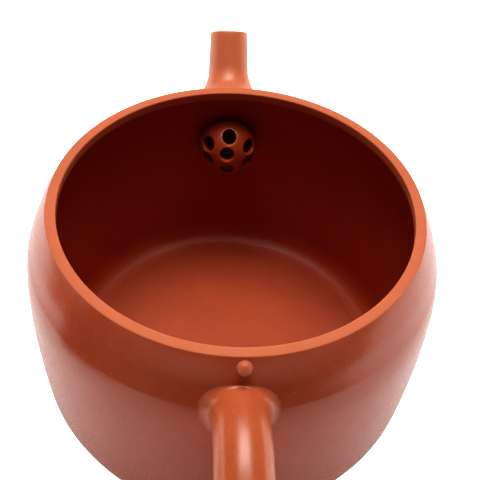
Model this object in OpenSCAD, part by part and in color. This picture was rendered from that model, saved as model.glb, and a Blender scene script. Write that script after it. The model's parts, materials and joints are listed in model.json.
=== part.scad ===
// Small clay teapot with a wide mouth, a straight spout, an ear handle and a loose lid.
// Frame: +Z up, origin at the centre of the foot's resting plane,
// spout towards +X, handle towards -X. Every luted clay piece is its own node.

/* [Pot] */
// Height of the rim plane above the table
rim_h = 54; // [51:0.5:58]
// Outer diameter of the flat rim
rim_d = 70; // [69:0.5:71]
// Diameter of the mouth inside the rim
mouth_d = 66.1; // [65.6:0.1:66.4]
// Height of the rim's inner wall before the undercut
rim_band = 2; // [1.6:0.1:2.4]
// Largest outer diameter of the body
belly_d = 79.6; // [79:0.2:81]
// Wall thickness of the body at the belly
wall = 3.0; // [2.6:0.1:3.4]
// Height of the ridge where the shoulder plate meets the body wall, below the rim
ridge_drop = 9.8; // [9.2:0.1:10.4]

/* [Base] */
// Diameter of the bottom disc
disc_d = 62; // [60:0.5:62]
// Height of the inside floor above the table
floor_h = 7.2; // [6.8:0.1:7.6]
// Depth of the recess inside the foot ring
foot_recess = 3; // [2.4:0.1:3.4]
// Width of the foot ring
foot_w = 3.6; // [3:0.1:4.4]

/* [Spout] */
// Rise of the spout axis above the horizontal, degrees
spout_angle = 52.3; // [50:0.5:54]
// Distance of the spout tip's centre from the pot axis
tip_x = 52.7; // [52:0.1:54]
// Height of the spout tip's centre above the rim
tip_rise = 2; // [1:0.1:3]
// Outer diameter of the spout tip
tip_d = 8.1; // [7.8:0.1:8.6]
// Diameter of the outlet bore
outlet_d = 5.5; // [5:0.1:5.8]
// Length of the straight part of the outlet bore
outlet_len = 6; // [5:0.5:7]

/* [Filter] */
// Outer diameter of the perforated ball filter
ball_d = 12.7; // [12.4:0.1:13.2]
// Thickness of the filter's shell
ball_wall = 1.2; // [1:0.1:1.4]
// Diameter of each strainer hole
hole_d = 3.1; // [2.6:0.1:3.3]
// Depth of the filter's centre below the rim
ball_drop = 15.6; // [15.2:0.1:16]

/* [Handle] */
// Thickness of the handle's upper arm
handle_d = 9.6; // [9.2:0.1:9.8]
// Thickness of the handle's lower arm
handle_low_d = 8.4; // [8:0.1:8.6]
// Depth of the upper root's centre below the rim
root_drop = 9.0; // [8.7:0.1:9.4]
// Bend radius of the upper arm as it leaves the pot
bend_top = 34; // [33:0.5:35]
// Bend radius of the back of the handle
bend_mid = 13; // [12.5:0.5:13.5]
// Bend radius of the lower corner
bend_low = 17; // [16.5:0.5:17.5]
// Fillet size at both roots
root_fillet = 2.1; // [1.8:0.1:2.4]

/* [Bead] */
// Diameter of the small bead on the shoulder above the handle
bead_d = 2.7; // [2.4:0.1:3]
// Depth of the bead's centre below the rim
bead_drop = 1.8; // [1.6:0.1:2]

/* [Lid] */
// Outer diameter of the lid disc
lid_d = 70; // [69.5:0.1:70.4]
// Thickness of the lid's edge
lid_edge = 2.6; // [2.4:0.1:2.8]
// Height of the domed top above the underside at the centre
lid_dome = 7; // [6.6:0.1:7.4]
// Outer diameter of the flange that drops into the mouth
flange_d = 65.3; // [64.8:0.1:65.3]
// Depth of the flange
flange_h = 5; // [4.6:0.1:5.2]
// Wall of the flange
flange_w = 2.6; // [2.2:0.1:3]
// Diameter of the flattened knob
knob_d = 14; // [13.4:0.2:14.6]
// Height of the knob's flattened ball
knob_h = 10; // [9.6:0.1:10.4]
// Height of the knob's centre above the lid's underside
knob_c = 12.4; // [12.2:0.1:12.8]
// Diameter of the vent hole through the knob
vent_d = 2; // [1.6:0.1:2.4]
// Gap under the seated lid
seat_gap = 0.2; // [0.15:0.05:0.3]

/* [Hidden] */
$fn = 96;

H = rim_h;
rim_r = rim_d / 2;
mouth_r = mouth_d / 2;
R = belly_d / 2;
disc_r = disc_d / 2;

// Smooth curve through hand-set points, n steps between each pair
function cr(a, b, c, d, t) = 0.5 * (2 * b + (c - a) * t + (2 * a - 5 * b + 4 * c - d) * t * t
                             + (3 * b - a - 3 * c + d) * t * t * t);
function curve(p, n) = [for (i = [0 : len(p) - 2]) for (j = [0 : n - 1])
    cr(p[max(i - 1, 0)], p[i], p[i + 1], p[min(i + 2, len(p) - 1)], j / n), p[len(p) - 1]];
function flip(p) = [for (i = [len(p) - 1 : -1 : 0]) p[i]];

// Outer profile, from the rim down: shoulder, then body wall (radius, height)
ring_out = [[rim_r, H], [rim_r + 0.95, H - rim_band]];
shoulder_out = curve([[rim_r + 0.95, H - rim_band], [rim_r + 2.3, H - 5],
                      [R - 1.5, H - 7.8], [R - 0.85, H - ridge_drop]], 3);
wall_out = curve([[R - 0.85, H - ridge_drop], [R - 0.4, H - 11.6], [R - 0.15, H - 14], [R, H - 18.5],
                  [R - 0.04, H - 24], [R - 0.4, 22], [R - 1.2, 12], [R - 2.2, 8], [R - 3.3, 5],
                  [R - 4.9, 2.6], [R - 6.8, 1.2], [disc_r, 0.8]], 3);
// Inner profile, from the undercut down (radius, height)
shoulder_in = curve([[mouth_r + 1.15, H - rim_band], [R - 4.9, H - 5], [R - wall - 0.75, H - ridge_drop]], 3);
wall_in = curve([[R - wall - 0.75, H - ridge_drop], [R - wall - 0.15, H - 13], [R - wall, H - 19], [R - wall - 0.3, 24],
                 [R - wall - 0.8, 16], [R - wall - 1.4, 12], [R - wall - 2.6, floor_h + 2.4],
                 [R - wall - 4, floor_h + 0.8], [disc_r, floor_h]], 3);

// The whole pot's outside and inside as plain solids, for trimming what is luted onto it
module pot_outside() {
    rotate_extrude() polygon(concat([[0, H]], ring_out, [for (i = [1 : len(shoulder_out) - 1]) shoulder_out[i]],
        [for (i = [1 : len(wall_out) - 1]) wall_out[i]], [[0, 0.8]]));
}
module pot_inside() {
    rotate_extrude() polygon(concat([[0, H - rim_band]], shoulder_in,
        [for (i = [1 : len(wall_in) - 1]) wall_in[i]], [[0, floor_h]]));
}

// Cut the hole that lets tea pass from the filter into the spout
module wall_hole() {
    translate([R - 8, 0, H - ball_drop]) rotate([0, 90, 0]) cylinder(r = hole_pass, h = 12, $fn = 48);
}
hole_pass = 4.4;

module body_wall() {
    color([0.74, 0.33, 0.22]) difference() {
        rotate_extrude() polygon(concat(wall_out, flip(wall_in)));
        wall_hole();
    }
}

module shoulder_plate() {
    color([0.78, 0.38, 0.27]) rotate_extrude() polygon(concat(shoulder_out, flip(shoulder_in)));
}

module mouth_ring() {
    b = 0.2;
    color([0.90, 0.47, 0.31]) rotate_extrude() polygon([
        [mouth_r, H - rim_band], [mouth_r, H - b], [mouth_r + b, H], [rim_r - b, H], [rim_r, H - b],
        [rim_r + 0.95, H - rim_band]]);
}

module base_disc() {
    color([0.67, 0.26, 0.14]) translate([0, 0, foot_recess]) cylinder(r = disc_r, h = floor_h - foot_recess);
}

module foot_ring() {
    c = 0.6;
    color([0.70, 0.31, 0.20]) rotate_extrude() polygon([
        [disc_r - foot_w, foot_recess], [disc_r - foot_w, c], [disc_r - foot_w + c, 0],
        [disc_r - 0.8, 0], [disc_r - 0.3, 0.3], [disc_r, 0.8], [disc_r, foot_recess]]);
}

// Along the spout's own axis, 0 at the tip and negative towards the root
module spout() {
    tr = tip_d / 2;
    or = outlet_d / 2;
    color([0.80, 0.40, 0.28]) difference() {
        translate([tip_x, 0, H + tip_rise]) rotate([0, 90 - spout_angle, 0]) rotate_extrude($fn = 64) polygon([
            [or, 0], [tr - 0.4, 0], [tr - 0.1, -0.12], [tr, -0.5], [tr + 0.3, -6.5], [tr + 0.6, -9], [tr + 1.1, -11],
            [tr + 1.9, -13], [tr + 3, -15.5], [tr + 3.9, -18.5], [tr + 4.3, -22], [tr + 4.4, -40], [or + 2.0, -40], [or + 1.9, -22], [or + 1.1, -16],
            [or, -outlet_len]]);
        pot_outside();
    }
}

// Hole directions on the ball: angle off the ball's axis, turn about that axis
ball_tilt = 15;
ball_holes = [[41, 0], [52, 65], [48, -68], [7, 37], [50, 108], [48, -113], [30, 173]];
module filter_ball() {
    cx = R - wall - 2.3;
    color([0.55, 0.20, 0.12]) intersection() {
        difference() {
            translate([cx, 0, H - ball_drop]) sphere(r = ball_d / 2, $fn = 64);
            translate([cx, 0, H - ball_drop]) sphere(r = ball_d / 2 - ball_wall, $fn = 64);
            for (h = ball_holes)
                translate([cx, 0, H - ball_drop]) rotate([0, ball_tilt - 90, 0]) rotate([0, 0, h[1]])
                    rotate([0, h[0], 0]) cylinder(r = hole_d / 2, h = ball_d, $fn = 32);
        }
        pot_inside();
    }
}

// Handle centreline in the plane of the spout, built outwards as +X and mirrored to -X
lead = 10;
turn_mid = -14;
turn_out = -84;
turn_in = -166;
h0 = [R - 2.2, H - root_drop];
ca = h0 + bend_top * [sin(lead), -cos(lead)];
h1 = ca - bend_top * [sin(turn_mid), -cos(turn_mid)];
cb = h1 + bend_mid * [sin(turn_mid), -cos(turn_mid)];
h2 = cb - bend_mid * [sin(turn_out), -cos(turn_out)];
cc = h2 + bend_low * [sin(turn_out), -cos(turn_out)];
h3 = cc - bend_low * [sin(turn_in), -cos(turn_in)];
low_run = (h3[0] - (R - 1.4)) / -cos(turn_in);

// Stations along the centreline: [out, up, heading, radius]
ru = handle_d / 2;
rl = handle_low_d / 2;
fu = root_fillet;
fl = root_fillet - 0.3;
wall_run = 0.6;
function along(p, a, s, r) = [p[0] + s * cos(a), p[1] + s * sin(a), a, r];
function on_arc(c, rad, a, r) = [c[0] - rad * sin(a), c[1] + rad * cos(a), a, r];
// The root's rings lie along the wall's slope and turn square to the arm over the fillet
slope = 14;
function first(s, k, r) = let (a = lead - s * 180 / (PI * bend_top), q = on_arc(ca, bend_top, a, r))
    [q[0], q[1], slope + (a - slope) * k, r];
root_end = lead - (wall_run + fu) * 180 / (PI * bend_top);
stations = concat(
    [let (q = along(h0, lead, -2.5, ru + fu)) [q[0], q[1], slope, q[3]]],
    [for (i = [0 : 6]) first(wall_run + fu * (1 - cos(i * 15)), i / 6, ru + fu * (1 - sin(i * 15)))],
    [for (i = [1 : 6]) on_arc(ca, bend_top, root_end + (turn_mid - root_end) * i / 6, ru)],
    [for (i = [1 : 8]) on_arc(cb, bend_mid, turn_mid + (turn_out - turn_mid) * i / 8, ru)],
    [for (i = [1 : 10]) on_arc(cc, bend_low, turn_out + (turn_in - turn_out) * i / 10, ru + (rl - ru) * i / 10)],
    [along(h3, turn_in, low_run * 0.4, rl - 0.05)],
    [for (i = [6 : -1 : 0]) along(h3, turn_in, low_run - fl * (1 - cos(i * 15)), rl - 0.1 + fl * (1 - sin(i * 15)))],
    [along(h3, turn_in, low_run + 4.5, rl - 0.1 + fl)]);
sides = 28;
// Ring of points square to the heading; the upper root's flare fades out towards its top, below the bead
function ring(st) = [for (k = [0 : sides - 1]) let (c = cos(360 * k / sides), d = sin(360 * k / sides),
    r = st[3] - (st[2] > -90 ? max(0, st[3] - ru) * pow(max(0, c), 2) : 0))
    [-(st[0] - r * c * sin(st[2])), r * d, st[1] + r * c * cos(st[2])]];

module handle() {
    n = len(stations);
    pts = [for (st = stations) each ring(st)];
    faces = concat(
        [[for (k = [0 : sides - 1]) k]],
        [for (i = [0 : n - 2]) for (k = [0 : sides - 1]) let (a = i * sides + k, b = i * sides + (k + 1) % sides)
            each [[a, a + sides, b], [b, a + sides, b + sides]]],
        [[for (k = [sides - 1 : -1 : 0]) (n - 1) * sides + k]]);
    color([0.80, 0.37, 0.22]) difference() {
        polyhedron(points = pts, faces = faces, convexity = 6);
        pot_outside();
    }
}

module shoulder_bead() {
    color([0.75, 0.36, 0.26]) difference() {
        translate([-(rim_r + 1.25), 0, H - bead_drop]) sphere(r = bead_d / 2, $fn = 48);
        pot_outside();
    }
}

// Lid, drawn seated with its underside at z = 0, then laid on the table beside the pot:
// turned about the swing axis until the knob and the far edge both touch the table.
seat_h = H + seat_gap;
axis_drop = 2.5;
lid_r = lid_d / 2;
edge_r = lid_r - 0.6;
kd = knob_c - lid_edge;
ka = knob_d / 2;
kb = knob_h / 2;
tilt = atan((2 * edge_r * kd + sqrt(pow(2 * edge_r * kd, 2)
       - 4 * (edge_r * edge_r - ka * ka) * (kd * kd - kb * kb))) / (2 * (edge_r * edge_r - ka * ka)));
swing_y = (seat_h - axis_drop - (lid_edge + axis_drop) * cos(tilt) - 0.03) / sin(tilt) - edge_r;
swing_z = seat_h - axis_drop;
echo(tilt = tilt, swing_y = swing_y, swing_z = swing_z);

lid_top = curve([[lid_r - 0.6, lid_edge], [lid_r - 5, lid_edge + 1.35], [lid_r - 11, lid_dome - 1.75],
                 [lid_r - 19, lid_dome - 0.65], [8, lid_dome - 0.1], [vent_d / 2, lid_dome]], 3);
module laid() {
    translate([0, swing_y, swing_z]) rotate([-(180 + tilt), 0, 0])
        translate([0, -swing_y, -swing_z]) translate([0, 0, seat_h]) children();
}

module lid_disc() {
    under = curve([[vent_d / 2, 3.4], [8, 3.2], [16, 2.6], [24, 1.6], [flange_d / 2 - flange_w, 0.5]], 3);
    color([0.78, 0.37, 0.25]) laid() rotate_extrude() polygon(concat(
        [[flange_d / 2 - flange_w, 0], [lid_r - 0.3, 0], [lid_r, 0.3], [lid_r, lid_edge - 0.6]], lid_top, under));
}

module lid_flange() {
    fr = flange_d / 2;
    color([0.86, 0.44, 0.30]) laid() rotate_extrude() polygon([
        [fr - flange_w, 0], [fr - flange_w, -flange_h + 0.3], [fr - flange_w + 0.3, -flange_h],
        [fr - 0.5, -flange_h], [fr, -flange_h + 0.5], [fr, 0]]);
}

module lid_knob() {
    color([0.78, 0.37, 0.25]) laid() difference() {
        rotate_extrude($fn = 64) polygon(concat([[0, lid_dome - 0.1], [4.4, lid_dome - 0.08], [3.6, lid_dome + 0.5], [3.5, knob_c - kb * sin(60)]],
            [for (a = [-60 : 10 : 90]) [ka * cos(a), knob_c + kb * sin(a)]]));
        cylinder(r = vent_d / 2, h = knob_c + kb + 1, $fn = 32);
        rotate_extrude() polygon(concat([[0, 0], [lid_r, 0]], lid_top, [[0, lid_dome]]));
    }
}

body_wall();
shoulder_plate();
mouth_ring();
base_disc();
foot_ring();
spout();
filter_ball();
handle();
shoulder_bead();
lid_disc();
lid_flange();
lid_knob();
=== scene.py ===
import json
import math

import bmesh
import bpy
import numpy as np
from mathutils import Matrix, Vector, noise


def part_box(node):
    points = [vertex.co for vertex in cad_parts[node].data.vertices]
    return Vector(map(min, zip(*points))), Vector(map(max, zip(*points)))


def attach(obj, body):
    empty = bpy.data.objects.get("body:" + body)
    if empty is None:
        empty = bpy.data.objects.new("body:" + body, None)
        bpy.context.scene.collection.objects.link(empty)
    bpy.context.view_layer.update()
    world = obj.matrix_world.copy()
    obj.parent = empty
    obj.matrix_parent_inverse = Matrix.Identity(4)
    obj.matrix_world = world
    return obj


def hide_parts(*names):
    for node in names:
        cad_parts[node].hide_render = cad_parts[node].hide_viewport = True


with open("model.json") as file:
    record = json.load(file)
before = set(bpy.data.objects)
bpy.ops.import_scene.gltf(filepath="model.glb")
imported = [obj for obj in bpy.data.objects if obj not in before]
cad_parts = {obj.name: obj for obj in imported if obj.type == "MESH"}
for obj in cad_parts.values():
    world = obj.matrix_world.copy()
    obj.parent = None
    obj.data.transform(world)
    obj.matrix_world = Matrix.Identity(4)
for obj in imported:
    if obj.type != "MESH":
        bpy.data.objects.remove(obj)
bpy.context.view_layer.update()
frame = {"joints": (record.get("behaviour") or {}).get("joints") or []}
MM = 0.001

# ---------------------------------------------------------------- sizes, from the frame
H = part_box("mouth_ring")[1].z / MM            # rim plane
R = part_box("body_wall")[1].x / MM             # belly radius
RIM = 35.0                                    # outer radius of the flat rim
MOUTH = 33.05                                 # radius of the mouth
WALL = 3.0
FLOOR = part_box("base_disc")[1].z / MM         # inside floor
LIFT = 1.25                                   # the floor rises this much towards its edge
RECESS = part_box("base_disc")[0].z / MM        # underside of the bottom disc
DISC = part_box("base_disc")[1].x / MM          # radius of the bottom disc
JOINT = frame["joints"][0]
SWING = Vector(JOINT["pos_m"])                # the lid's swing axis
TURN = math.radians(JOINT["range_deg"][1])    # from lying on the table to seated

# ---------------------------------------------------------------- curves


def curve(pts, n):
    """Catmull-Rom through pts, n steps between each pair."""
    out = []
    for i in range(len(pts) - 1):
        a, b, c, d = (np.array(pts[k], float) for k in (max(i - 1, 0), i, i + 1, min(i + 2, len(pts) - 1)))
        for j in range(n):
            t = j / n
            out.append(0.5 * (2 * b + (c - a) * t + (2 * a - 5 * b + 4 * c - d) * t * t
                              + (3 * b - a - 3 * c + d) * t ** 3))
    out.append(np.array(pts[-1], float))
    return [tuple(p) for p in out]


def rounded(pts, radii, n=5):
    """An open polyline of (r, z) whose inner corners are rounded by the given radii."""
    out = [tuple(pts[0])]
    for i in range(1, len(pts) - 1):
        a, b, c = (np.array(pts[k], float) for k in (i - 1, i, i + 1))
        rad = radii[i - 1]
        if rad <= 0:
            out.append(tuple(b))
            continue
        u, v = (a - b) / np.linalg.norm(a - b), (c - b) / np.linalg.norm(c - b)
        half = math.acos(max(-1, min(1, float(u @ v)))) / 2
        t = min(rad / math.tan(half), 0.45 * np.linalg.norm(a - b), 0.45 * np.linalg.norm(c - b))
        p, q = b + u * t, b + v * t
        for j in range(n + 1):
            s = j / n
            out.append(tuple((1 - s) ** 2 * p + 2 * s * (1 - s) * b + s * s * q))
    out.append(tuple(pts[-1]))
    return out


SEAM = H - 9.8                                 # shoulder plate meets body wall
BAND = H - 2.0                                 # mouth ring meets shoulder plate
shoulder_out = curve([(RIM + 0.95, BAND), (RIM + 2.3, H - 5), (R - 1.46, H - 8.0), (R - 0.95, SEAM + 0.4), (R - 0.84, SEAM)], 8)
wall_out = curve([(R - 0.84, SEAM), (R - 0.72, SEAM - 0.5), (R - 0.52, SEAM - 1.5), (R - 0.3, SEAM - 3), (R - 0.12, SEAM - 5), (R, H - 18.5),
                  (R - 0.03, H - 24), (R - 0.4, 22), (R - 1.2, 12), (R - 2.2, 8), (R - 3.3, 5),
                  (R - 4.9, 2.6), (R - 6.8, 1.2), (DISC, 0.8)], 8)
shoulder_in = curve([(MOUTH + 1.2, BAND), (R - 4.9, H - 5), (R - WALL - 0.75, SEAM)], 10)
wall_in = curve([(R - WALL - 0.75, SEAM), (R - WALL - 0.15, H - 13), (R - WALL, H - 19), (R - WALL - 0.3, 24),
                 (R - WALL - 0.7, 16), (R - WALL - 0.95, 12.9), (R - WALL - 1.4, 11.2), (R - WALL - 2.2, 10.0),
                 (R - WALL - 3.5, 9.1), (R - WALL - 4.6, 8.7), (DISC, FLOOR + LIFT)], 10)
_out = np.array([(RIM, H)] + shoulder_out + wall_out[1:])
_out = _out[np.argsort(_out[:, 1])]


def hand(x, y, z):
    """Slight unevenness left by the paddle and the burnishing knife, in mm along the radius."""
    p = Vector((x * 0.045, y * 0.045, z * 0.03))
    a = noise.noise(p) * 0.085
    b = noise.noise(Vector((x * 0.16 + 7, y * 0.16, z * 0.05))) * 0.022
    return (a + b) * min(1.0, max(0.0, (H - z) / 6.0)) * min(1.0, max(0.0, z / 6.0))


def out_r(z):
    return float(np.interp(z, _out[:, 1], _out[:, 0]))


def out_r_at(x, y, z):
    k = math.hypot(x, y) or 1e-9
    r = out_r(z)
    return r + hand(x / k * r, y / k * r, z)


def normal_at(p):
    """Outward normal of the pot's outside near p."""
    e = 0.2
    g = []
    for i in range(3):
        q, s = list(p), list(p)
        q[i] += e
        s[i] -= e
        g.append((math.hypot(q[0], q[1]) - out_r(q[2])) - (math.hypot(s[0], s[1]) - out_r(s[2])))
    v = Vector(g)
    return v.normalized()


def snap(p, off=0.0):
    """p moved onto the pot's outside, off mm outside of it."""
    p = Vector(p)
    for _ in range(4):
        d = math.hypot(p.x, p.y) - out_r_at(p.x, p.y, p.z)
        n = normal_at(p)
        k = math.hypot(n.x, n.y)
        p -= n * d * k
    return p + normal_at(p) * off


def hit(p, d, far=40.0):
    """Where the ray from p along d enters the pot's outside."""
    p, d = Vector(p), Vector(d).normalized()

    def f(t):
        q = p + d * t
        if q.z > H:
            return 1.0
        return math.hypot(q.x, q.y) - out_r_at(q.x, q.y, q.z)
    t, step = 0.0, 0.25
    while t < far and f(t) > 0:
        t += step
    lo, hi = t - step, t
    for _ in range(24):
        m = (lo + hi) / 2
        if f(m) > 0:
            lo = m
        else:
            hi = m
    return p + d * hi


# ---------------------------------------------------------------- mesh building


def piece(name, verts, faces, mat, body, grain=None, sharp=38, world=None, second=None, where=None):
    """One mesh piece, vertices in mm. grain holds a 3-vector per vertex, in mm, whose third axis runs along the grain.
    Faces for which where(centre in mm, normal) is true get the second material."""
    me = bpy.data.meshes.new(name)
    me.from_pydata([Vector(v) * MM for v in verts], [], faces)
    me.update()
    g = me.attributes.new("grain", "FLOAT_VECTOR", "POINT")
    src = grain if grain is not None else verts
    g.data.foreach_set("vector", np.array([tuple(v) for v in src], np.float32).ravel())
    if world is not None:
        me.transform(world)
    bm = bmesh.new()
    bm.from_mesh(me)
    bmesh.ops.remove_doubles(bm, verts=bm.verts, dist=1e-7)
    bmesh.ops.recalc_face_normals(bm, faces=bm.faces)
    bm.to_mesh(me)
    bm.free()
    me.polygons.foreach_set("use_smooth", [True] * len(me.polygons))
    me.set_sharp_from_angle(angle=math.radians(sharp))
    o = bpy.data.objects.new(name, me)
    bpy.context.scene.collection.objects.link(o)
    o.data.materials.append(mat)
    if second is not None:
        o.data.materials.append(second)
        for q in me.polygons:
            if where(q.center / MM, q.normal):
                q.material_index = 1
    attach(o, body)
    return o


def revolve(prof, n=256, move=None, closed=True):
    """Solid of revolution of (r, z) points; a point on the axis has r = 0. Returns verts, faces."""
    verts, rows = [], []
    for r, z in prof:
        if r < 1e-6:
            rows.append([len(verts)])
            verts.append((0, 0, z))
            continue
        row = []
        for k in range(n):
            a = 2 * math.pi * k / n
            x, y = r * math.cos(a), r * math.sin(a)
            if move:
                d = move(x, y, z)
                x, y = (r + d) * math.cos(a), (r + d) * math.sin(a)
            row.append(len(verts))
            verts.append((x, y, z))
        rows.append(row)
    faces = []
    m = len(rows)
    for i in range(m if closed else m - 1):
        a, b = rows[i], rows[(i + 1) % m]
        if len(a) == 1 and len(b) == 1:
            continue
        for k in range(n):
            l = (k + 1) % n
            if len(a) == 1:
                faces.append((a[0], b[k], b[l]))
            elif len(b) == 1:
                faces.append((a[k], b[0], a[l]))
            else:
                faces.append((a[k], b[k], b[l], a[l]))
    return verts, faces


def skin(rows, caps=(True, True), wrap=False):
    """Quads between rings of equal length. Returns verts, faces."""
    verts = [p for row in rows for p in row]
    n = len(rows[0])
    faces = []
    m = len(rows)
    for i in range(m if wrap else m - 1):
        a, b = i * n, ((i + 1) % m) * n
        for k in range(n):
            l = (k + 1) % n
            faces.append((a + k, b + k, b + l, a + l))
    if not wrap:
        for end, row in ((0, 0), (1, (m - 1) * n)):
            if caps[end]:
                c = Vector((0, 0, 0))
                for k in range(n):
                    c += Vector(verts[row + k])
                verts.append(c / n)
                for k in range(n):
                    faces.append((row + k, row + (k + 1) % n, len(verts) - 1))
    return verts, faces


def bezier(p0, p1, p2, p3, n, first=True):
    out = []
    for j in range(0 if first else 1, n + 1):
        t = j / n
        out.append(p0 * (1 - t) ** 3 + p1 * 3 * t * (1 - t) ** 2 + p2 * 3 * t * t * (1 - t) + p3 * t ** 3)
    return out


def fillet(start, d, out, a, b, full, n=10):
    """Points from the generator that runs from start along d, round onto the pot's wall along out.
    a and b are the run-outs along the generator and the wall; full below 0.66 gives a fuller fillet."""
    c = hit(start, d)
    nn = normal_at(c)
    t = Vector(out) - nn * Vector(out).dot(nn)
    t.normalize()
    p = c - Vector(d).normalized() * a
    q = snap(c + t * b)
    pts = bezier(p, p + (c - p) * full, q + (c - q) * full, q, n)
    pts.append(snap(q, -0.25))
    return pts


# ---------------------------------------------------------------- clay


def clay(name, base, dark, pale, rough, ior=1.5, streak=1.0, pits=1.0, sand=0.35, coat=0.0, coat_rough=0.2, mottle=1.0):
    """Unglazed red stoneware. Everything is in mm of the piece's own grain coordinates."""
    m = bpy.data.materials.new(name)
    m.use_nodes = True
    nt = m.node_tree
    nt.nodes.clear()
    N, L = nt.nodes, nt.links

    def add(t, **kw):
        x = N.new(t)
        for k, v in kw.items():
            setattr(x, k, v)
        return x

    def math_(op, a, b=None, c=None, clamp=False):
        x = add("ShaderNodeMath", operation=op, use_clamp=clamp)
        for i, v in enumerate((a, b, c)):
            if v is None:
                continue
            if hasattr(v, "is_output"):
                L.new(v, x.inputs[i])
            else:
                x.inputs[i].default_value = v
        return x.outputs[0]

    def ramp(src, stops):
        x = add("ShaderNodeValToRGB")
        while len(x.color_ramp.elements) < len(stops):
            x.color_ramp.elements.new(0.5)
        for e, (p, c) in zip(x.color_ramp.elements, stops):
            e.position = p
            e.color = (c, c, c, 1) if not hasattr(c, "__len__") else (*c, 1)
        L.new(src, x.inputs[0])
        return x.outputs[0]

    at = add("ShaderNodeAttribute", attribute_name="grain")
    vec = at.outputs["Vector"]

    def scaled(sx, sy, sz):
        x = add("ShaderNodeMapping")
        x.inputs["Scale"].default_value = (sx, sy, sz)
        L.new(vec, x.inputs["Vector"])
        return x.outputs[0]

    def tex(v, scale, detail=3, rough_=0.55, dist=0.0):
        x = add("ShaderNodeTexNoise")
        x.inputs["Scale"].default_value = scale
        x.inputs["Detail"].default_value = detail
        x.inputs["Roughness"].default_value = rough_
        x.inputs["Distortion"].default_value = dist
        L.new(v, x.inputs["Vector"])
        return x.outputs["Fac"]

    def cells(v, scale, feature="F1"):
        x = add("ShaderNodeTexVoronoi", feature=feature)
        x.inputs["Scale"].default_value = scale
        L.new(v, x.inputs["Vector"])
        return x

    def mix(fac, a, b, mode="MIX"):
        x = add("ShaderNodeMix", data_type="RGBA", blend_type=mode)
        if hasattr(fac, "is_output"):
            L.new(fac, x.inputs[0])
        else:
            x.inputs[0].default_value = fac
        for i, v in ((6, a), (7, b)):
            if hasattr(v, "is_output"):
                L.new(v, x.inputs[i])
            else:
                x.inputs[i].default_value = (*v, 1)
        return x.outputs[2]

    cloud = tex(scaled(1, 1, 1), 0.11, 3, 0.6)                     # broad kiln tone
    blotch = tex(scaled(1, 1, 0.6), 0.55, 4, 0.6)                  # mottling of a few mm
    streaks = tex(scaled(1, 1, 0.09), 1.5, 3, 0.6)                 # burnishing marks along the grain
    fine_streaks = tex(scaled(1, 1, 0.14), 4.2, 2, 0.6)
    grit = tex(scaled(1, 1, 1), 5.5, 3, 0.7)                       # sand grain
    leather = cells(scaled(1, 1, 0.75), 1.25, "SMOOTH_F1")
    leather.inputs["Smoothness"].default_value = 0.6
    grains = cells(scaled(1, 1, 1), 0.95)
    dots = cells(scaled(1, 1, 1), 1.9)

    # colour
    c = mix(ramp(cloud, [(0.30, 0.0), (0.70, 1.0)]), dark, base)
    c = mix(math_("MULTIPLY", ramp(blotch, [(0.45, 0.0), (0.78, 1.0)]), 0.28 * mottle), c, pale)
    c = mix(math_("MULTIPLY", ramp(grit, [(0.45, 0.0), (0.75, 1.0)]), 0.22), c, dark)
    c = mix(math_("MULTIPLY", ramp(streaks, [(0.50, 0.0), (0.78, 1.0)]), 0.20 * streak), c, dark)
    # pale sand grains, only in some cells
    pick = math_("GREATER_THAN", ramp(grains.outputs["Color"], [(0.0, 0.0), (1.0, 1.0)]), 0.62)
    near = ramp(grains.outputs["Distance"], [(0.09, 1.0), (0.15, 0.0)])
    speck = math_("MULTIPLY", math_("MULTIPLY", pick, near), sand)
    c = mix(speck, c, (0.72, 0.40, 0.26))
    pick2 = math_("GREATER_THAN", ramp(dots.outputs["Color"], [(0.0, 0.0), (1.0, 1.0)]), 0.68)
    near2 = ramp(dots.outputs["Distance"], [(0.10, 1.0), (0.20, 0.0)])
    dark_speck = math_("MULTIPLY", math_("MULTIPLY", pick2, near2), 0.45)
    c = mix(dark_speck, c, (0.20, 0.035, 0.014))

    bs = add("ShaderNodeBsdfPrincipled")
    L.new(c, bs.inputs["Base Color"])
    r = math_("ADD", rough - 0.05, math_("MULTIPLY", blotch, 0.10))
    r = math_("ADD", r, math_("MULTIPLY", speck, 0.3), clamp=True)
    r = math_("ADD", r, math_("MULTIPLY", math_("SUBTRACT", fine_streaks, 0.5), 0.10 * streak), clamp=True)
    L.new(r, bs.inputs["Roughness"])
    bs.inputs["IOR"].default_value = ior
    bs.inputs["Coat Weight"].default_value = coat
    bs.inputs["Coat Roughness"].default_value = coat_rough

    # relief, in thousandths of a mm
    h = math_("MULTIPLY", streaks, 5.0 * streak)
    h = math_("ADD", h, math_("MULTIPLY", fine_streaks, 1.6 * streak))
    h = math_("ADD", h, math_("MULTIPLY", leather.outputs["Distance"], 7.0 * pits))
    h = math_("ADD", h, math_("MULTIPLY", grit, 3.0 * pits))
    h = math_("ADD", h, math_("MULTIPLY", blotch, 3.0 * mottle))
    h = math_("SUBTRACT", h, math_("MULTIPLY", dark_speck, 8.0 * pits))
    bump = add("ShaderNodeBump")
    bump.inputs["Strength"].default_value = 1.0
    bump.inputs["Distance"].default_value = 1e-6
    L.new(h, bump.inputs["Height"])
    L.new(bump.outputs[0], bs.inputs["Normal"])
    out = add("ShaderNodeOutputMaterial")
    L.new(bs.outputs[0], out.inputs[0])
    return m


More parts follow.
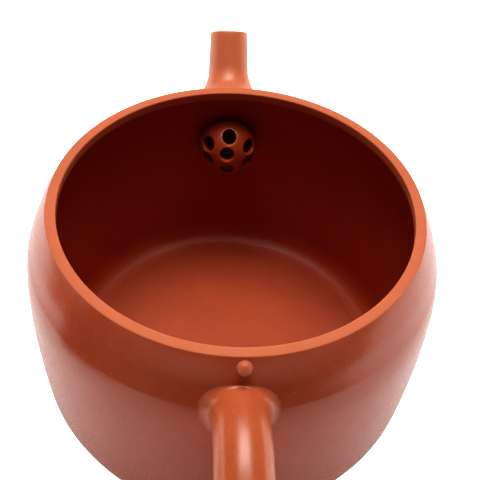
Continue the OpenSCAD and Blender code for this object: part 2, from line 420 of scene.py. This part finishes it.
burnished = clay("clay_burnished", rough=0.24, ior=1.5, sand=0.10, streak=2.4, pits=1.3,
                 base=(0.465, 0.088, 0.027), dark=(0.420, 0.074, 0.020), pale=(0.515, 0.112, 0.040))
bead_clay = clay("clay_bead", rough=0.5, ior=1.5, sand=0.1,
                 base=(0.590, 0.165, 0.080), dark=(0.550, 0.150, 0.070), pale=(0.620, 0.185, 0.090))
handle_clay = clay("clay_handle", rough=0.27, ior=1.5, sand=0.12,
                   base=(0.560, 0.148, 0.061), dark=(0.505, 0.128, 0.050), pale=(0.605, 0.175, 0.078))
# the spout's clay is paler than the body's: its own tone and partly painted light, a painted sheen tuned to how bright
# the spout looks from the camera, so from other sides it looks paler than the body
spout_clay = clay("clay_spout", rough=0.40, ior=1.55, streak=2.2, sand=0.12,
                  base=(0.660, 0.208, 0.098), dark=(0.585, 0.174, 0.078), pale=(0.700, 0.246, 0.126))
matte = clay("clay_matte", rough=0.60, ior=1.4, streak=0.3, pits=1.6, sand=0.15, mottle=0.5,
             base=(0.620, 0.178, 0.079), dark=(0.580, 0.162, 0.069), pale=(0.650, 0.200, 0.094))
inside_clay = clay("clay_inside", rough=0.40, ior=1.42, streak=0.5, pits=1.4, sand=0.08, mottle=0.6,
                   base=(0.490, 0.080, 0.022), dark=(0.450, 0.070, 0.018), pale=(0.535, 0.098, 0.032))
floor_clay = clay("clay_floor", rough=0.38, ior=1.45, streak=0.5, pits=1.2, sand=0.06, mottle=0.8,
                  base=(0.455, 0.088, 0.026), dark=(0.410, 0.076, 0.020), pale=(0.505, 0.110, 0.040))
ball_clay = clay("clay_strainer", rough=0.34, ior=1.62, streak=0.5, pits=1.0, sand=0.05, mottle=0.6,
                 base=(0.470, 0.082, 0.024), dark=(0.430, 0.072, 0.020), pale=(0.510, 0.100, 0.034))

# ---------------------------------------------------------------- pot


def wall_move(x, y, z):
    return hand(x, y, z)


def radial_only(x, y, z):
    """The same unevenness, fading out towards the inside so that the inner wall stays smooth."""
    return hand(x, y, z) * min(1.0, max(0.0, (math.hypot(x, y) - out_r(z) + 1.5) / 1.5))


# body wall: outside, underside edge, bottom seam, inside
v, f = revolve(wall_out + list(reversed(wall_in)), 320, radial_only)


def within(c, n):
    return math.hypot(c.x, c.y) < out_r(c.z) - 1.4 and c.z > FLOOR - 1


wall = piece("wall_clay", v, f, burnished, "teapot", second=inside_clay, where=within)
cutter_v, cutter_f = revolve([(0, -8), (4.4, -8), (4.4, 8), (0, 8)], 64, closed=False)
cut = bpy.data.meshes.new("cut")
cut.from_pydata([Vector((R - 3 + z, y, H - 15.6 + x)) * MM for x, y, z in cutter_v], [], cutter_f)
cut_o = bpy.data.objects.new("cut", cut)
bpy.context.scene.collection.objects.link(cut_o)
mod = wall.modifiers.new("inlet", "BOOLEAN")
mod.operation, mod.solver, mod.object = "DIFFERENCE", "EXACT", cut_o
bpy.context.view_layer.update()
dg = bpy.context.evaluated_depsgraph_get()
new = bpy.data.meshes.new_from_object(wall.evaluated_get(dg))
wall.modifiers.clear()
wall.data = new
bpy.data.objects.remove(cut_o)
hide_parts("body_wall")

v, f = revolve(shoulder_out + list(reversed(shoulder_in)), 320, radial_only)
shoulder = piece("shoulder_clay", v, f, burnished, "teapot", second=inside_clay, where=within)
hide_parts("shoulder_plate")

rim_prof = rounded([(MOUTH + 0.6, BAND), (MOUTH, BAND), (MOUTH, H), (RIM, H), (RIM + 0.95, BAND), (MOUTH + 0.6, BAND)],
                   [0.25, 0.28, 0.30, 0.0], 5)
v, f = revolve(rim_prof[:-1], 320, radial_only)
rim = piece("rim_clay", v, f, matte, "teapot", second=burnished,
            where=lambda c, n: math.hypot(c.x, c.y) > RIM - 0.4 and n.z < 0.62)
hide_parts("mouth_ring")

floor_top = curve([(DISC, FLOOR + LIFT), (27, FLOOR + 0.82), (22, FLOOR + 0.38), (16, FLOOR + 0.08), (8, FLOOR + 0.02), (0, FLOOR)], 6)


def floor_prof():
    return [(0, RECESS + 0.15), (10, RECESS + 0.12), (20, RECESS + 0.06), (DISC - 4, RECESS), (DISC, RECESS)] + floor_top


v, f = revolve(floor_prof(), 256, closed=False)
disc = piece("disc_clay", v, f, floor_clay, "teapot")
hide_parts("base_disc")

v, f = revolve(rounded([(DISC - 2, RECESS), (DISC - 3.6, RECESS), (DISC - 3.6, 0), (DISC - 0.5, 0), (DISC, 0.8), (DISC, RECESS), (DISC - 2, RECESS)],
                       [0.0, 0.7, 0.5, 0.3, 0.0], 5)[:-1], 256)
foot = piece("foot_clay", v, f, matte, "teapot")
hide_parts("foot_ring")

# ---------------------------------------------------------------- spout
B = math.radians(52.3)
TIP = Vector((52.7, 0, H + 2))
AX = Vector((math.cos(B), 0, math.sin(B)))
E1 = Vector((-math.sin(B), 0, math.cos(B)))
E2 = Vector((0, 1, 0))
NS = 128
TR, BORE = 4.05, 2.75


WEB, LEDGE = 7.2, 10.0                         # along the spout's top: start of the web, level of its ledge


def resample(pts, n):
    """n points at equal steps along the polyline pts."""
    run = [0.0]
    for i in range(1, len(pts)):
        run.append(run[-1] + (pts[i] - pts[i - 1]).length)
    out, i = [], 0
    for j in range(n):
        t = run[-1] * j / (n - 1)
        while i < len(pts) - 2 and run[i + 1] < t:
            i += 1
        u = (t - run[i]) / max(run[i + 1] - run[i], 1e-9)
        out.append(pts[i].lerp(pts[i + 1], u))
    return out


def cone_r(s):
    return TR + 0.040 * s


rows = []
grain_rows = []
for k in range(NS):
    a = 2 * math.pi * k / NS
    n = E1 * math.cos(a) + E2 * math.sin(a)
    col = []
    # bore, inner edge, flat end, rounded outer edge
    outer = [(TR - 0.42 + 0.42 * math.sin(t * math.pi / 8), 0.42 * (1 - math.cos(t * math.pi / 8))) for t in range(5)]
    for r, s in [(BORE, 0.5), (BORE + 0.05, 0.2), (BORE + 0.2, 0.04), (BORE + 0.4, 0.0), (TR - 0.8, 0.0)] + outer:
        col.append(TIP - AX * s + n * r)
    # straight part
    ct, cb, sd = max(0.0, math.cos(a)) ** 2, max(0.0, -math.cos(a)) ** 2, math.sin(a) ** 2
    run_a = 8.6 * ct + 9.0 * cb + 12.5 * sd
    run_b = 5.6 * ct + 5.0 * cb + 9.0 * sd
    full = 0.29 * ct + 0.45 * cb + 0.38 * sd
    s_end_pt = hit(TIP - AX * 6.0 + n * cone_r(6.0), -AX)
    s_end = (TIP - s_end_pt).dot(AX)
    s0 = s_end - run_a
    for j in range(1, 12):
        s = 0.42 + (WEB - 0.42) * j / 12
        col.append(TIP - AX * s + n * cone_r(s))
    start = TIP - AX * WEB + n * cone_r(WEB)
    d = (-AX + n * 0.040).normalized()
    st = TIP - AX * (s0 - 0.5) + n * cone_r(s0 - 0.5)
    plain = resample([start] + fillet(st, d, n, run_a, run_b, full, 22)[:-1], 44)
    if math.cos(a) > 0.02:
        k0 = TIP - AX * LEDGE + n * cone_r(LEDGE)
        q = snap(hit(k0, Vector((-1, -0.05 * k0.y, 0))))
        k1 = k0 + (q - k0) * 0.34
        ledge = resample([start] + bezier(start, start + (k0 - start) * 0.62, k1 + (k0 - k1) * 0.62, k1, 14, False) + [q], 44)
        w = math.cos(a) ** 2
        plain = [x * (1 - w) + y * w for x, y in zip(plain, ledge)]
    col += plain
    col.append(snap(plain[-1], -0.25))
    # back inside: root of the bore, then up the bore to the tip
    root = hit(TIP - AX * 8.0 + n * 4.3, -AX)
    col.append(root - AX * 0.35)
    for s, r in ((min(s_end - 1.5, 16.0), 3.9), (12.0, 3.35), (6.0, BORE), (3.0, BORE)):
        col.append(TIP - AX * s + n * r)
    rows.append(col)
m = len(rows[0])
rings = [[rows[k][i] for k in range(NS)] for i in range(m)]
v, f = skin(rings, wrap=True)
grain = []
for i in range(m):
    for k in range(NS):
        p = rings[i][k] - TIP
        grain.append((p.dot(E1) + 100, p.dot(E2), p.dot(AX)))
spout = piece("spout_clay", v, f, spout_clay, "teapot", grain=grain, sharp=50)
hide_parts("spout")

# ---------------------------------------------------------------- handle
LEAD, MID, OUT, IN = (math.radians(t) for t in (16, -14, -84, -166))
RT, RM, RB, RU, RL = 25.0, 14.5, 15.5, 4.8, 4.2
ROOT = (R - 2.2, H - 9.8)
TURNS = ((LEAD, MID, RT), (MID, OUT, RM), (OUT, IN, RB))


def centreline(s):
    """(u, z, heading) s mm along the handle from its upper root; u is the distance from the pot's axis."""
    u, z = ROOT
    if s < 0:
        return u + s * math.cos(LEAD), z + s * math.sin(LEAD), LEAD
    for a0, a1, rad in TURNS:
        arc = (a0 - a1) * rad
        cu, cz = u + rad * math.sin(a0), z - rad * math.cos(a0)
        a = a0 - min(s, arc) / rad
        u, z = cu - rad * math.sin(a), cz + rad * math.cos(a)
        if s <= arc:
            return u, z, a
        s -= arc
    return u + s * math.cos(IN), z + s * math.sin(IN), IN


ARC1, ARC2, ARC3 = ((a0 - a1) * rad for a0, a1, rad in TURNS)
BEND = ARC1 + ARC2 + ARC3
tail = (centreline(BEND)[0] - (R - 1.4)) / -math.cos(IN)


def thick(s):
    return RU + (RL - RU) * min(1.0, max(0.0, (s - ARC1 - ARC2 * 0.5) / (ARC2 * 0.5 + ARC3)))


def middle(s):
    """Centre of the handle in space; the hand-rolled coil leans a little to one side."""
    u, z, a = centreline(s)
    return Vector((-u, 0.55 - 0.3 * min(1.0, max(0.0, s / 9.0)), z)), a


NH = 96


def ring_dir(a, k):
    t = 2 * math.pi * k / NH
    return Vector((math.sin(a) * math.cos(t), math.sin(t), math.cos(a) * math.cos(t)))


rings, grain = [], []


def put(ring, ln):
    rings.append(ring)
    for k in range(NH):
        t = 2 * math.pi * k / NH
        grain.append((RU * math.cos(t) + 50, RU * math.sin(t) + 30, ln))


FREE = 9.5                                    # from here on the handle is a plain round coil
cols = []
for k in range(NH):

    def along(s):
        c, a = middle(s)
        return c + ring_dir(a, k) * thick(s)

    def outside(s):
        q = along(s)
        return math.hypot(q.x, q.y) - out_r_at(q.x, q.y, q.z)

    lo, hi = FREE, FREE
    while lo > -5 and outside(lo) > 0:
        hi, lo = lo, lo - 0.25
    for _ in range(24):
        m = (lo + hi) / 2
        if outside(m) > 0:
            hi = m
        else:
            lo = m
    c = along(hi)
    n = ring_dir(middle(hi)[1], k)
    nn = normal_at(c)
    t = (n - nn * n.dot(nn)).normalized()
    up_ = max(0.0, math.cos(2 * math.pi * k / NH)) ** 2
    low_ = max(0.0, -math.cos(2 * math.pi * k / NH)) ** 2
    s1 = hi + 2.6 - 2.1 * up_
    p, q = along(s1), snap(c + t * (2.1 - 1.8 * up_ + 0.3 * low_))
    tp = (along(s1 - 0.1) - p).normalized()
    pts = [along(FREE + (s1 - FREE) * j / 8) for j in range(1, 8)]
    pts += bezier(p, p + tp * (c - p).length * 0.6, q + (c - q) * 0.6, q, 14)
    pts.append(snap(q, -0.25))
    cols.append(pts)
for i in range(len(cols[0]) - 1, -1, -1):
    put([cols[k][i] for k in range(NH)], FREE - 0.6 * (i + 1) if i < 7 else FREE - 4.2 - 0.35 * (i - 6))
end = BEND + tail * 0.48
steps = 84
for i in range(steps + 1):
    s = FREE + (end - FREE) * i / steps
    c, a = middle(s)
    put([c + ring_dir(a, k) * thick(s) for k in range(NH)], s)
c, a = middle(end)
d_in = Vector((-math.cos(a), 0, math.sin(a)))
cols = []
for k in range(NH):
    n = ring_dir(a, k)
    cols.append(fillet(c + n * thick(end), d_in, n, 2.4, 2.0, 0.6, 12))
for i in range(len(cols[0])):
    put([cols[k][i] for k in range(NH)], end + 3 + i * 0.4)
v, f = skin(rings)
grain += [grain[0], grain[-1]]
handle = piece("handle_clay", v, f, handle_clay, "teapot", grain=grain, sharp=50)
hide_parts("handle")

# ---------------------------------------------------------------- bead on the shoulder
c = snap(Vector((-(RIM + 0.9), 0, H - 1.85)))
nn = normal_at(c)
t1 = Vector((0, 1, 0))
t2 = nn.cross(t1)
rings = []
dome = [(1.42, -0.15), (1.38, 0.02), (1.31, 0.16), (1.27, 0.34), (1.22, 0.52), (1.12, 0.72), (0.96, 0.90), (0.74, 1.04), (0.48, 1.13), (0.22, 1.17)]
for r, h in dome:
    ring = []
    for k in range(48):
        a = 2 * math.pi * k / 48
        p = snap(c + t1 * r * math.cos(a) + t2 * r * math.sin(a))
        ring.append(p + nn * h)
    rings.append(ring)
v, f = skin(rings)
bead = piece("shoulder_bead_clay", v, f, bead_clay, "teapot", sharp=60)
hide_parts("shoulder_bead")

# ---------------------------------------------------------------- ball strainer
BC = Vector((R - WALL - 2.3, 0, H - 15.6))
BR, BW = 6.35, 1.2
TILT = math.radians(15)
axis = Vector((-math.cos(TILT), 0, math.sin(TILT)))
up = Vector((math.sin(TILT), 0, math.cos(TILT)))
side = Vector((0, 1, 0))


def solid(verts, faces, name):
    me = bpy.data.meshes.new(name)
    me.from_pydata([Vector(q) * MM for q in verts], [], faces)
    bm = bmesh.new()
    bm.from_mesh(me)
    bmesh.ops.recalc_face_normals(bm, faces=bm.faces)
    bm.to_mesh(me)
    bm.free()
    o = bpy.data.objects.new(name, me)
    bpy.context.scene.collection.objects.link(o)
    return o


def apply(o):
    bpy.context.view_layer.update()
    e = o.evaluated_get(bpy.context.evaluated_depsgraph_get())
    new = bpy.data.meshes.new_from_object(e)
    o.modifiers.clear()
    o.data = new


# shell, revolved about -X, its open edge sunk into the wall
prof = []
cut_x = R - WALL + 0.25 - BC.x        # the wall's inner face is here at the ball's middle
for rad, order in ((BR, 1), (BR - BW, -1)):
    lim = math.acos(-cut_x / rad)
    arc = [(rad * math.sin(t), rad * math.cos(t)) for t in np.linspace(0, lim, 40)]
    prof.append(arc if order == 1 else arc[::-1])
pr = prof[0] + prof[1]
v, f = revolve(pr, 96, closed=False)
ball = solid([BC + Vector((-z, y, x)) for x, y, z in v], f, "strainer_clay")
for pol, azi in ((41, 0), (52, 66), (48, -69), (7, 37), (50, 107), (48, -112), (30, 173)):
    p, q = math.radians(pol), math.radians(azi)
    dd = axis * math.cos(p) + (up * math.cos(q) + side * math.sin(q)) * math.sin(p)
    # the holes are pricked from the mouth side, so they lean towards the pot's axis
    way = (dd * 0.5 + Vector((-0.5, 0, 0))).normalized()
    e1 = way.cross(Vector((0.3, 0.2, 0.9))).normalized()
    e2 = way.cross(e1)
    cv, cf = revolve([(0, -2.6), (1.52, -2.6), (1.52, 4.0), (0, 4.0)], 40, closed=False)
    pin = solid([BC + dd * BR + e1 * x + e2 * y + way * z for x, y, z in cv], cf, "pin")
    mod = ball.modifiers.new("hole", "BOOLEAN")
    mod.operation, mod.solver, mod.object = "DIFFERENCE", "EXACT", pin
    apply(ball)
    bpy.data.objects.remove(pin)
mod = ball.modifiers.new("remesh", "REMESH")
mod.mode, mod.voxel_size = "VOXEL", 0.14 * MM
apply(ball)
mod = ball.modifiers.new("soften", "SMOOTH")
mod.factor, mod.iterations = 0.5, 7
apply(ball)
ball.data.polygons.foreach_set("use_smooth", [True] * len(ball.data.polygons))
co = np.zeros(len(ball.data.vertices) * 3, np.float32)
ball.data.vertices.foreach_get("co", co)
g = ball.data.attributes.new("grain", "FLOAT_VECTOR", "POINT")
g.data.foreach_set("vector", co * 1000)
ball.data.materials.clear()
ball.data.materials.append(ball_clay)
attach(ball, "teapot")
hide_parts("filter_ball")

# ---------------------------------------------------------------- lid, in its own frame: underside at z = 0
SEAT = H + 0.2
LR, EDGE, DOME, FR, FW, FH = 35.0, 2.6, 7.0, 32.65, 2.6, 5.0
KC, KA, KB, VENT = 12.4, 7.0, 5.0, 1.0
to_seat = Matrix.Translation(Vector((0, 0, SEAT * MM)))
laid = Matrix.Translation(SWING) @ Matrix.Rotation(-TURN, 4, "X") @ Matrix.Translation(-SWING) @ to_seat

top = curve([(LR - 0.6, EDGE), (LR - 5, EDGE + 1.35), (LR - 11, DOME - 1.75), (LR - 19, DOME - 0.65), (8, DOME - 0.1), (VENT, DOME)], 8)
under = curve([(VENT, 3.4), (8, 3.2), (16, 2.6), (24, 1.6), (FR - FW, 0.5)], 6)
edge = rounded([(FR - FW, 0.0), (LR, 0.0), (LR, EDGE - 0.3), (LR - 0.6, EDGE)], [0.35, 0.5], 5)
v, f = revolve(edge[:-1] + top + under, 320)
lid_disc = piece("lid_disc_clay", v, f, burnished, "lid", grain=[(x + 200, y, z) for x, y, z in v], world=laid)
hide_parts("lid_disc")

v, f = revolve(rounded([(FR - 1.3, 0), (FR - FW, 0), (FR - FW, -FH), (FR, -FH), (FR, 0), (FR - 1.3, 0)], [0.0, 0.5, 0.5, 0.0], 5)[:-1], 320)
flange = piece("lid_flange_clay", v, f, matte, "lid", grain=[(x + 200, y + 90, z) for x, y, z in v], world=laid)
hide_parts("lid_flange")

z_top = float(np.interp(4.9, [p[0] for p in reversed(top)], [p[1] for p in reversed(top)]))
neck = curve([(5.2, z_top - 0.05), (4.2, z_top + 0.28), (3.7, z_top + 0.75), (3.75, z_top + 1.0)], 5)
ballk = [(KA * math.cos(math.radians(t)), KC + KB * math.sin(math.radians(t))) for t in range(-54, 84, 4)]
knob_prof = [(VENT, z_top - 0.1)] + neck + ballk + [(VENT + 0.35, KC + KB * 0.988), (VENT + 0.08, KC + KB * 0.94), (VENT, KC + KB * 0.85)]
v, f = revolve(knob_prof, 128)
knob = piece("lid_knob_clay", v, f, burnished, "lid", grain=[(x + 300, y, z) for x, y, z in v], world=laid)
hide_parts("lid_knob")

# ---------------------------------------------------------------- floor, light, camera


def flat(name, x0, x1, y0, y1, z, col, emit=0.0):
    me = bpy.data.meshes.new(name)
    me.from_pydata([(x0, y0, z), (x1, y0, z), (x1, y1, z), (x0, y1, z)], [], [(0, 1, 2, 3)])
    o = bpy.data.objects.new(name, me)
    bpy.context.scene.collection.objects.link(o)
    m = bpy.data.materials.new(name)
    m.use_nodes = True
    b = m.node_tree.nodes["Principled BSDF"]
    b.inputs["Base Color"].default_value = (*col, 1)
    b.inputs["Roughness"].default_value = 0.9
    b.inputs["Specular IOR Level"].default_value = 0.0
    if emit:
        b.inputs["Emission Color"].default_value = (1, 1, 1, 1)
        b.inputs["Emission Strength"].default_value = emit
    me.materials.append(m)
    return o


# the table as the camera sees it, washed out to white, and as the clay sees it, with a painted glow
seen = flat("table_seen", -6, 6, -6, 6, -0.0004, (0.8, 0.8, 0.8), 1.2)
seen.visible_diffuse = seen.visible_glossy = False
# painted light: a sheet the camera doesn't see, glowing though it is no lamp, to light the table in the clay's
# reflections
glow_table = flat("table_painted_glow", -6, 6, -6, 6, -0.0002, (0.72, 0.72, 0.72), 0.2)
glow_table.visible_camera = False
ft = glow_table.data.materials[0].node_tree
pos = ft.nodes.new("ShaderNodeNewGeometry")
sep = ft.nodes.new("ShaderNodeSeparateXYZ")
ft.links.new(pos.outputs["Position"], sep.inputs[0])
side_way = ft.nodes.new("ShaderNodeMath")
side_way.operation = "ABSOLUTE"
ft.links.new(sep.outputs[1], side_way.inputs[0])
# painted shade: the glow is dimmer near the line through the handle and spout, a painted shadow of the pot and handle
# on the table, and brighter towards the sides
painted_side_glow = ft.nodes.new("ShaderNodeMapRange")
painted_side_glow.inputs["From Min"].default_value = 0.025
painted_side_glow.inputs["From Max"].default_value = 0.125
painted_side_glow.inputs["To Min"].default_value = 0.2
painted_side_glow.inputs["To Max"].default_value = 0.95
ft.links.new(side_way.outputs[0], painted_side_glow.inputs[0])
ft.links.new(painted_side_glow.outputs[0], ft.nodes["Principled BSDF"].inputs["Emission Strength"])


def dark_reflection_sheet(name, x0, x1, y0, y1, z):
    """Black sheet on the table, a painted dark reflection: it only takes light out of the reflections and isn't seen
    itself.
    """
    flat(name, x0, x1, y0, y1, z, (0.015, 0.015, 0.015))
    o = bpy.data.objects[name]
    o.visible_camera = False
    o.visible_diffuse = False
    o.visible_shadow = False
    return o


# painted dark reflections: one in the pot's side facing the camera, one more in its left side
dark_reflection_sheet("dark_reflection_sheet", -0.40, -0.108, -1.5, 1.5, 0.0)
dark_reflection_sheet("dark_reflection_sheet_side", -0.108, -0.02, 0.085, 0.35, 0.0)

world = bpy.data.worlds.new("studio")
bpy.context.scene.world = world
world.use_nodes = True
wn, wl = world.node_tree.nodes, world.node_tree.links
wn.clear()
tc = wn.new("ShaderNodeTexCoord")
nrm = wn.new("ShaderNodeVectorMath")
nrm.operation = "NORMALIZE"
wl.new(tc.outputs["Generated"], nrm.inputs[0])


def lobe(direction, lo, hi):
    """0 to 1 as the cosine to the direction goes from lo to hi."""
    d = wn.new("ShaderNodeVectorMath")
    d.operation = "DOT_PRODUCT"
    wl.new(nrm.outputs[0], d.inputs[0])
    d.inputs[1].default_value = Vector(direction).normalized()
    m = wn.new("ShaderNodeMapRange")
    m.interpolation_type = "SMOOTHSTEP"
    m.inputs["From Min"].default_value = lo
    m.inputs["From Max"].default_value = hi
    wl.new(d.outputs["Value"], m.inputs["Value"])
    return m.outputs["Result"]


def wmath(op, a, b):
    x = wn.new("ShaderNodeMath")
    x.operation = op
    for i, s in enumerate((a, b)):
        if hasattr(s, "is_output"):
            wl.new(s, x.inputs[i])
        else:
            x.inputs[i].default_value = s
    return x.outputs[0]


# a dark room with a lit backdrop low down on the far side of the pot
low = wmath("SUBTRACT", 1.0, lobe((0, 0, 1), 0.10, 0.24))
glow = wmath("ADD", wmath("MULTIPLY", lobe((1, 0, 0), -0.25, 0.20), 2.2), wmath("MULTIPLY", lobe((1, 0, 0), 0.70, 0.97), 4.0))
level = wmath("ADD", wmath("MULTIPLY", low, glow), 0.02)
bg = wn.new("ShaderNodeBackground")
bg.inputs["Color"].default_value = (1, 1, 1, 1)
wl.new(level, bg.inputs["Strength"])
wo = wn.new("ShaderNodeOutputWorld")
wl.new(bg.outputs[0], wo.inputs[0])


def softbox(name, loc, aim, w, h, radiance):
    ld = bpy.data.lights.new(name, "AREA")
    ld.shape = "RECTANGLE"
    ld.size, ld.size_y = w, h
    ld.energy = radiance * math.pi * w * h
    o = bpy.data.objects.new(name, ld)
    o.location = loc
    o.rotation_mode = "QUATERNION"
    o.rotation_quaternion = (Vector(aim) - Vector(loc)).to_track_quat("-Z", "Y")
    bpy.context.scene.collection.objects.link(o)
    return o


softbox("top_box", (0.155, 0.0, 0.75), (0.155, 0, 0), 0.36, 0.46, 5.2)
softbox("wide_box", (0.03, 0.0, 0.77), (0.03, 0, 0), 0.54, 0.70, 2.0)

cam = bpy.data.objects.new("camera", bpy.data.cameras.new("camera"))
bpy.context.scene.collection.objects.link(cam)
cam.data.sensor_width = 36.0
cam.data.lens = 68.283
cam.data.clip_start = 0.01
cam.data.clip_end = 20
r_, u_, f_ = (Vector(x) for x in ((-0.038491, -0.99774, 0.055083), (0.723645, 0.010182, 0.690097), (0.689098, -0.066424, -0.721618)))
rot = Matrix((r_, u_, -f_)).transposed()
cam.rotation_mode = "QUATERNION"
cam.rotation_quaternion = rot.to_quaternion()
cam.location = Vector((-120.858, 10.574, 116.614 + H)) * MM
bpy.context.scene.camera = cam
bpy.context.scene.view_settings.view_transform = "Standard"
bpy.context.scene.view_settings.look = "High Contrast"
